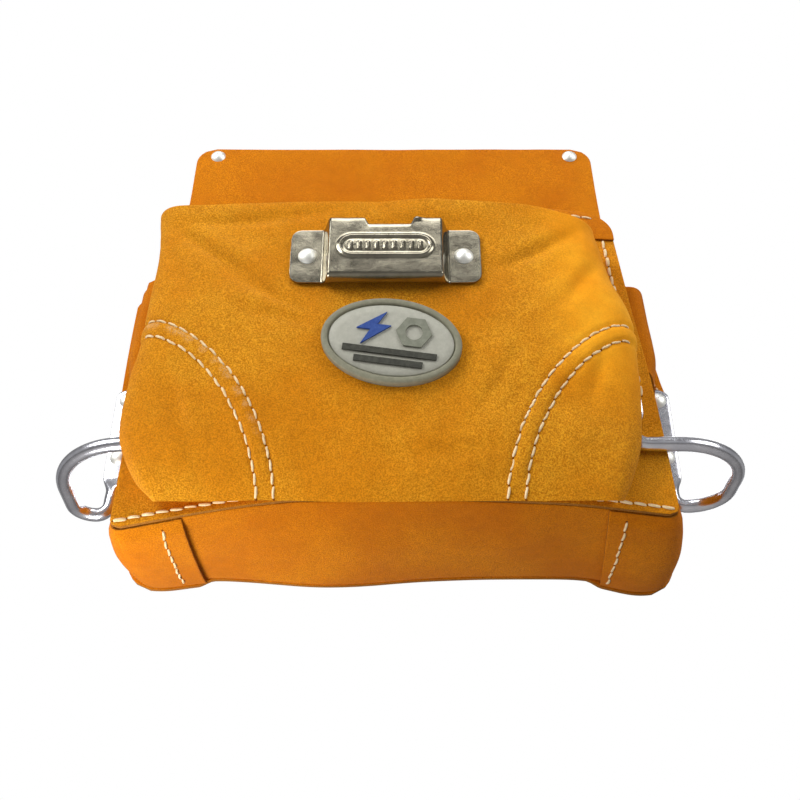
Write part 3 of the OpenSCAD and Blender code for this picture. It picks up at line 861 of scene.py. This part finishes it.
def sweep(name, centres, widths, thicks, squareness):
    """A bar whose section changes along its path: widths along an axis that starts as x
    and is carried along, thicks across it, and squareness from 2, round, up to flat-sided."""
    tangents = np.gradient(centres, axis=0)
    tangents /= np.linalg.norm(tangents, axis=1, keepdims=True)
    angles = np.linspace(0, 2 * math.pi, 24, endpoint=False)[:, None]
    ca, sa = np.cos(angles), np.sin(angles)
    side = np.array([1.0, 0, 0])
    rings = []
    for c, t, w, h, q in zip(centres, tangents, widths, thicks, squareness):
        side = side - t * side.dot(t)
        side /= np.linalg.norm(side)
        along_side = np.sign(ca) * np.abs(ca) ** (2 / q) * w / 2
        across_it = np.sign(sa) * np.abs(sa) ** (2 / q) * h / 2
        rings.append(c + along_side * side + across_it * np.cross(t, side))
    return mesh_object(name, np.array(rings).reshape(-1, 3), tube_faces(len(rings), len(angles)))


ROD_D = 7.0
LEG_W, LEG_T = 13.0, 2.5
LEG_END = 4.5              # the legs' tops are rounded over this length
LEG_TOP_Z, LEG_BOTTOM_Z = 110.0, 54.0
REAR_LEG_X, FRONT_LEG_X = 146.0, 114.0
BACK_FRONT_Y = -2.6        # the back panel's front face in the CAD
ELBOW_R = 6.0
LOOP_Z = LOOP_BOTTOM_Z + ROD_D / 2
# On each side: how far the loop falls towards its rear leg, how far short of the CAD's
# loop it stays, and the radii of its rear and front bends.
LOOP_SHAPES = {-1: (5.0, 2.0, 10.0, 38.0), 1: (0.0, 0.0, 18.0, 34.0)}


def loop_path(side, name):
    """One loop's centre line, from the rear leg's top to the front leg's top, with the
    section's width, thickness and squareness at each point."""
    sag, short, rear_r, front_r = LOOP_SHAPES[side]
    rear_y, front_y = BACK_FRONT_Y - ROD_D / 2 - 0.1, FACE_Y - ROD_D / 2 - 0.1
    reach = max(abs(corner[0]) for corner in extent(name)) - ROD_D / 2 - short

    def leg(x, rod_y, plate_y, drop):
        """Down the flattened leg, out to the rod's line and round the elbow."""
        down = [(x, plate_y, z) for z in np.linspace(LEG_TOP_Z, LEG_BOTTOM_Z, 24)]
        neck = [
            (x, plate_y + (rod_y - plate_y) * s, z - drop * s)
            for s, z in ((0.1, 52), (0.4, 49.5), (0.8, 47), (1, 44.5))
        ]
        bend = arc(x + ELBOW_R, LOOP_Z - drop + ELBOW_R, ELBOW_R, 180, 270, 8)
        return down + neck + [(bx, rod_y, bz) for bx, bz in bend]

    bends = np.vstack([
        arc(reach - rear_r, rear_y - rear_r, rear_r, 90, 0, 14),
        arc(reach - front_r, front_y + front_r, front_r, 0, -90, 20),
    ])
    ring = [(x, y, LOOP_Z - sag * (y - front_y) / (rear_y - front_y)) for x, y in bends]
    rear = leg(REAR_LEG_X, rear_y, BACK_FRONT_Y - LEG_T / 2 - 0.05, sag)
    front = leg(FRONT_LEG_X, front_y, FACE_Y - LEG_T / 2 - 0.35, 0)
    path = resample(rear + ring + front[::-1], 170)
    flattened = smooth((path[:, 2] - 45) / 10)
    rounding = quarter(np.maximum((LEG_TOP_Z - path[:, 2]) / LEG_END, 0.02))
    widths = (ROD_D + (LEG_W - ROD_D) * flattened) * (1 - rounding)
    thicks = ROD_D + (LEG_T - ROD_D) * flattened
    path[:, 0] *= side
    return path, widths, thicks, 2 + 4 * flattened


def make_hammer_loops():
    """A bent rod at each side, whose ends are flattened into riveted legs."""
    for side, word in ((-1, "left"), (1, "right")):
        name = f"hammer_loop_{word}"
        obj = sweep(name, *loop_path(side, name))
        if side < 0:
            obj.data.flip_normals()
        finish_object(obj, [LOOP_STEEL], "loop_steel", name)


CLIP_T = 1.2
CLIP_ROLL = 2.2            # the lower edge is rolled back over this height
EAR_W, EAR_HALF_H = 17.0, 16.5
EAR_CORNER_R = 5.5


def make_tape_clip():
    """One pressed strip: riveted ears, a raised bridge with a rolled lower edge, a
    notched upper edge, and a stiffening bead pressed into the bridge."""
    low, high = extent("tape_clip")
    half_w, depth, half_h = (high - low) / [2, 1, 2]
    middle = (high + low) / 2
    bridge_half = half_w - EAR_W
    rolled = -1 + CLIP_ROLL * (1 - np.cos(np.linspace(0, math.pi / 2, 16))) / half_h
    x, v = np.meshgrid(np.linspace(-half_w, half_w, 190), [*rolled, *np.linspace(-0.85, 1, 64)])
    ax = np.abs(x)
    ear = EAR_HALF_H - EAR_CORNER_R * quarter((half_w - ax) / EAR_CORNER_R)
    tall = ear + (half_h - ear) * smooth((bridge_half + 1.0 - ax) / 2.4)
    tall = tall - (v > 0) * 4.0 * smooth((12.5 - np.abs(x - 2)) / 2.5)
    z = v * tall
    # The bead: a raised stadium outline with a softly domed field and short ribs inside it.
    bead = np.hypot(np.maximum(ax - 16, 0), z) - 6.0
    form = depth - CLIP_T + 0.75 * hump(bead, 0, 1.1) + 0.25 * smooth(-bead / 3)
    for rib in range(-4, 5):
        form = form + 0.45 * hump(x, rib * 4.2, 0.9) * smooth((3.2 - np.abs(z)) / 1.2)
    # Lower edge rolled back, upper lip bent out beside the notch.
    form = form - 5.6 * quarter((v + 1) * half_h / CLIP_ROLL) ** 1.3
    to_lip = np.clip((1 - v) * tall / 3.0, 0, 1)
    form = form - 0.9 * quarter(to_lip) + hump(x, 15.5, 2.2) * (1 - to_lip)
    raised = smooth((bridge_half + 1.6 - ax) / 4.2)
    y = high[1] - CLIP_T - raised * form - 0.12 * lumps(flat(x, z), 9, 3.0)
    obj = grid_object("tape_clip", np.stack([middle[0] + x, y, middle[2] + z], -1))
    thicken(obj, CLIP_T, edge_material=0, bevel=0.35)
    finish_object(obj, [CLIP_STEEL], "clip_steel", "tape_clip")


# ---- Badge ----

BADGE_TILT, BADGE_LEAN = 8.0, 8.2      # degrees in its own plane, and forwards at its top
BADGE_STAND, BADGE_Z = 31.5, 75.0
BADGE_HALF_W, BADGE_HALF_H = 33.0, 22.0
# Rings of the plate, as insets from its outline and heights. The first ones carry the rim.
BADGE_RINGS = [
    (0.0, -0.9), (0.0, 2.9), (0.12, 3.5), (0.5, 3.95), (1.2, 4.15), (2.5, 4.15), (2.95, 3.95),
    (3.1, 3.3), (3.2, 2.7), (3.65, 2.7), (3.75, 3.2), (3.95, 3.42), (8, 3.43), (14, 3.43), (21.5, 3.43),
]
RIM_RINGS = 9


def make_badge_plate():
    """The oval plate: rounded edge, raised rim, groove and flat field."""
    lean, tilt = math.radians(BADGE_LEAN), math.radians(BADGE_TILT)
    out = np.array([0, -math.cos(lean), -math.sin(lean)])
    level, steep = np.array([1.0, 0, 0]), np.array([0, -math.sin(lean), math.cos(lean)])
    right = level * math.cos(tilt) - steep * math.sin(tilt)
    up = level * math.sin(tilt) + steep * math.cos(tilt)
    centre = np.array([0.0, FACE_Y - BADGE_STAND, BADGE_Z])
    a = np.linspace(0, 2 * math.pi, 128, endpoint=False)[:, None]
    rings = np.array([
        centre + out * height
        + right * (BADGE_HALF_W - inset) * np.cos(a)
        + up * (BADGE_HALF_H - inset) * np.sin(a)
        for inset, height in BADGE_RINGS
    ])
    obj = mesh_object("badge_plate", rings.reshape(-1, 3), tube_faces(len(rings), len(a)))
    for face in obj.data.polygons[:RIM_RINGS * len(a)]:
        face.material_index = 1
    finish_object(obj, [BADGE_RUBBER, BADGE_RIM], "badge_rubber", "badge_plate")


def dress_cad_nodes():
    """CAD pieces whose shape is right keep it, with softened edges and a real finish."""
    looks = [("badge_bolt", ICON_BLUE, 0.25), ("badge_hexagon", ICON_GREY, 0.25), ("badge_bars", ICON_DARK, 0.25)]
    for place_name in ("tunnel_{}", "tape_clip_{}", "hammer_loop_{}_left", "hammer_loop_{}_right"):
        looks.append((place_name.format("rivets"), RIVET_STEEL, 0.2))
        looks.append((place_name.format("washers"), RIVET_STEEL, 0.15))
    for node, material, bevel in looks:
        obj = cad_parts[node]
        for slot in obj.material_slots:
            slot.material = material
        soften(obj, bevel, 35)


# ---- Stitches ----

STITCH_GAP = 0.55
RNG = np.random.default_rng(7)


def stitch_run(points, normals, pitch):
    """Cuts a draped path into stitches. Each is nine points with their normals, and the
    point and normal of its needle hole."""
    steps = np.linalg.norm(np.diff(points, axis=0), axis=1)
    along = np.concatenate([[0], np.cumsum(steps)])
    count = max(1, int(round(along[-1] / pitch)))
    edges = np.linspace(0, along[-1], count + 1)

    def at(s):
        p, n = (np.array([np.interp(s, along, rows[:, k]) for k in range(3)]) for rows in (points, normals))
        return p, n / np.linalg.norm(n)

    runs = []
    for a, b in zip(edges[:-1], edges[1:]):
        start = a + STITCH_GAP / 2 + RNG.normal(0, 0.12)
        stops = [at(start + (b - a - STITCH_GAP) * f) for f in np.linspace(0, 1, 9)]
        runs.append((stops, at(a)))
    return runs


def make_stitches(name, paths, pitch=6.0, thread_d=1.1):
    """Thread and needle holes along draped paths, as two meshes."""
    around = 2 * math.pi * np.arange(8)[:, None] / 8
    verts, faces = [], []
    hole_verts, hole_faces = [], []
    for points, normals in paths:
        if len(points) < 4:
            continue
        for stops, (hole, hole_n) in stitch_run(points, normals, pitch):
            lean = RNG.normal(0, 0.10)
            fat = thread_d * (1 + RNG.normal(0, 0.06))
            done = [k / (len(stops) - 1) for k in range(len(stops))]
            arch = [math.sin(math.pi * f) for f in done]
            centres = np.array([p + n * (0.95 * h**0.35 - 0.6) for (p, n), h in zip(stops, arch)])
            tangents = np.gradient(centres, axis=0)
            faces += tube_faces(len(stops), len(around), len(verts))
            for centre, tangent, (_, n), f, h in zip(centres, tangents, stops, done, arch):
                t = tangent / np.linalg.norm(tangent)
                b = np.cross(t, n)
                b /= np.linalg.norm(b)
                m = np.cross(b, t)
                r = 0.5 * fat * (0.62 + 0.38 * h**0.5)
                centre = centre + b * (2 * lean * h + 0.55 * (f - 0.5))
                verts += list(centre + b * 1.1 * r * np.cos(around) + m * r * np.sin(around))
            add_hole(hole_verts, hole_faces, hole, hole_n, stops[0][0] - hole)
    finish_object(mesh_object(name, np.array(verts), faces), [THREAD], "suede")
    # The needle holes are small dark discs of painted shadow.
    finish_object(mesh_object(f"{name}_hole_shadows", np.array(hole_verts), hole_faces), [HOLE_SHADOW], "suede")


def add_hole(verts, faces, p, n, along):
    """A small sunken disc round a needle hole, dark with painted shadow."""
    t = along / max(np.linalg.norm(along), 1e-6)
    b = np.cross(n, t)
    start = len(verts)
    verts.append(p + n * 0.05)
    sides = 10
    for r, h in ((0.3, 0.12), (0.55, 0.08), (0.7, -0.25)):
        for j in range(sides):
            a = 2 * math.pi * j / sides
            rough = 1 + 0.15 * RNG.normal()
            verts.append(p + n * h + (t * math.cos(a) * 0.8 + b * math.sin(a)) * r * rough)
    for j in range(sides):
        faces.append((start, start + 1 + j, start + 1 + (j + 1) % sides))
    faces += grid_faces(3, sides, close=True, start=start + 1)


FROM_FRONT, FROM_BEHIND, FROM_BELOW = (0, 1, 0), (0, -1, 0), (0, 0, 1)


def stitch_everything(front, face, band, gusset, back, tunnel):
    """Thread along every seam, in an order that the random draws depend on."""
    tree = surface_tree(front)
    paths = []
    for side, limit in ((-1, 117.0), (1, 114.0)):
        for row in (OUTER_ROW, INNER_ROW):
            x, z = seam_curve(side, *row).T
            keep = (np.abs(x) < limit) & (z > 2.5)
            paths.append(drape(flat(x, z)[keep], FROM_FRONT, tree))
    make_stitches("thread_front_corners", paths, pitch=6.2)

    tree = surface_tree(face)
    x = np.linspace(-MAIN_HALF_W + 3.5, MAIN_HALF_W, 240)
    z = np.linspace(66, MAIN_MOUTH_Z - 22, 120)
    paths = [drape(flat(x, 3.4 + face_lift(x)), FROM_FRONT, tree)]
    for side in (-1, 1):
        x = side * (face_half_width(z) - 6.5) + face_skew(z)
        paths.append(drape(flat(x, z), FROM_FRONT, tree))
    make_stitches("thread_main_seam", paths, pitch=6.4, thread_d=1.45)

    tree = surface_tree(band)
    x = np.linspace(-108, 108, 160)
    paths = [
        drape(flat(x, z + mouth_shift(x)), FROM_FRONT, tree) for z in (MAIN_MOUTH_Z - 4, MAIN_MOUTH_Z - 14.5)
    ]
    make_stitches("thread_mouth_band", paths)

    tree = surface_tree(*gusset)
    y = np.linspace(FACE_Y + 6, -7, 60)
    paths = []
    for edge_x in (LAP_LEFT - 11.5, LAP_RIGHT + 7):
        x = edge_x - 0.03 * (y - FACE_Y) * np.sign(edge_x)
        paths.append(drape(np.stack([x, y, 0 * y], 1), FROM_BELOW, tree))
    make_stitches("thread_gusset_laps", paths, pitch=6.4)

    tree = surface_tree(back)
    z = np.linspace(30, 180, 140)
    paths = []
    for side in (-1, 1):
        x = side * (back_half_width(z, side) - 4)
        paths += [drape(flat(x, z), direction, tree) for direction in (FROM_FRONT, FROM_BEHIND)]
    paths.append(drape(flat(np.linspace(-104, 104, 150), 4.5), FROM_BEHIND, tree))
    make_stitches("thread_back_panel", paths)

    tree = surface_tree(tunnel)
    (_, _, low), (half_w, _, high) = extent("belt_tunnel")
    x = np.linspace(4 - half_w, half_w - 4, 160)
    paths = [drape(flat(x, z), FROM_BEHIND, tree) for z in (low + 3, low + 7, high - 3, high - 7)]
    make_stitches("thread_belt_tunnel", paths)


# ---- Room ----

FLOOR_HALF, FLOOR_DROP = 4.0, 0.95     # metres
# Name, place and target in metres, width in metres and power in watts.
LAMPS = (
    ("key", (-0.95, -0.95, 0.45), (0, 0, -0.14), 0.8, 17),
    ("low_left", (-0.17, -0.08, -0.42), (-0.08, -0.04, -0.25), 0.12, 0.55),
    ("fill", (1.1, -0.9, 0.25), (0, 0, -0.12), 0.8, 9),
    ("top", (0.0, -0.9, 1.15), (0, 0, -0.1), 0.7, 7),
    ("back_soft", (0.3, 1.2, 0.6), (0, 0, -0.1), 1.2, 8),
)


def make_world():
    """Walls that light the pouch, behind a backdrop that shows plain white."""
    world = bpy.data.worlds.new("studio")
    world.use_nodes = True
    nodes = world.node_tree.nodes
    coords, split, height, ramp, backdrop, seen, either = (
        nodes.new(f"ShaderNode{kind}")
        for kind in ("TexCoord", "SeparateXYZ", "Math", "ValToRGB", "Background", "LightPath", "MixShader")
    )
    height.operation = "MULTIPLY_ADD"
    height.inputs[1].default_value = 0.5
    height.inputs[2].default_value = 0.5
    set_ramp(ramp.color_ramp, [(0.0, 0.20), (0.45, 0.32), (0.62, 0.30), (0.76, 0.16), (1.0, 0.30)])
    backdrop.inputs["Color"].default_value = grey(1.0)
    for output, socket in (
        (coords.outputs["Generated"], split.inputs["Vector"]),
        (split.outputs["Z"], height.inputs[0]),
        (height.outputs[0], ramp.inputs["Fac"]),
        (ramp.outputs["Color"], nodes["Background"].inputs["Color"]),
        (seen.outputs["Is Camera Ray"], either.inputs[0]),
        (nodes["Background"].outputs[0], either.inputs[1]),
        (backdrop.outputs[0], either.inputs[2]),
        (either.outputs[0], nodes["World Output"].inputs["Surface"]),
    ):
        world.node_tree.links.new(output, socket)
    return world


def add_room():
    """A pale floor well below, the world's walls and soft lamps."""
    scene = bpy.context.scene
    scene.view_settings.view_transform = "Standard"
    scene.world = make_world()

    mesh = bpy.data.meshes.new("floor")
    corners = ((-1, -1), (1, -1), (1, 1), (-1, 1))
    mesh.from_pydata([(x * FLOOR_HALF, y * FLOOR_HALF, -FLOOR_DROP) for x, y in corners], [], [(0, 1, 2, 3)])
    floor = bpy.data.objects.new("floor", mesh)
    scene.collection.objects.link(floor)
    n = Nodes("pale_floor")
    mesh.materials.append(n.finish((0.40, 0.39, 0.38, 1), n.bump(n.noise(4, 3), 0.3, 0.2), roughness=0.8))

    for name, where, target, size, power in LAMPS:
        data = bpy.data.lights.new(name, "AREA")
        data.size = size
        data.energy = power
        lamp = bpy.data.objects.new(name, data)
        lamp.visible_camera = False
        scene.collection.objects.link(lamp)
        lamp.location = where
        toward = Vector(target) - Vector(where)
        lamp.rotation_euler = toward.to_track_quat("-Z", "Y").to_euler()


add_camera()
add_room()
face_obj = make_main_face()
band_obj = make_mouth_band()
front_obj = make_front_pocket()
back_obj = make_back_panel()
tunnel_obj = make_belt_tunnel()
gusset_objs = make_gusset()
make_sleeves()
make_hammer_loops()
make_tape_clip()
make_badge_plate()
dress_cad_nodes()
stitch_everything(front_obj, face_obj, band_obj, gusset_objs, back_obj, tunnel_obj)
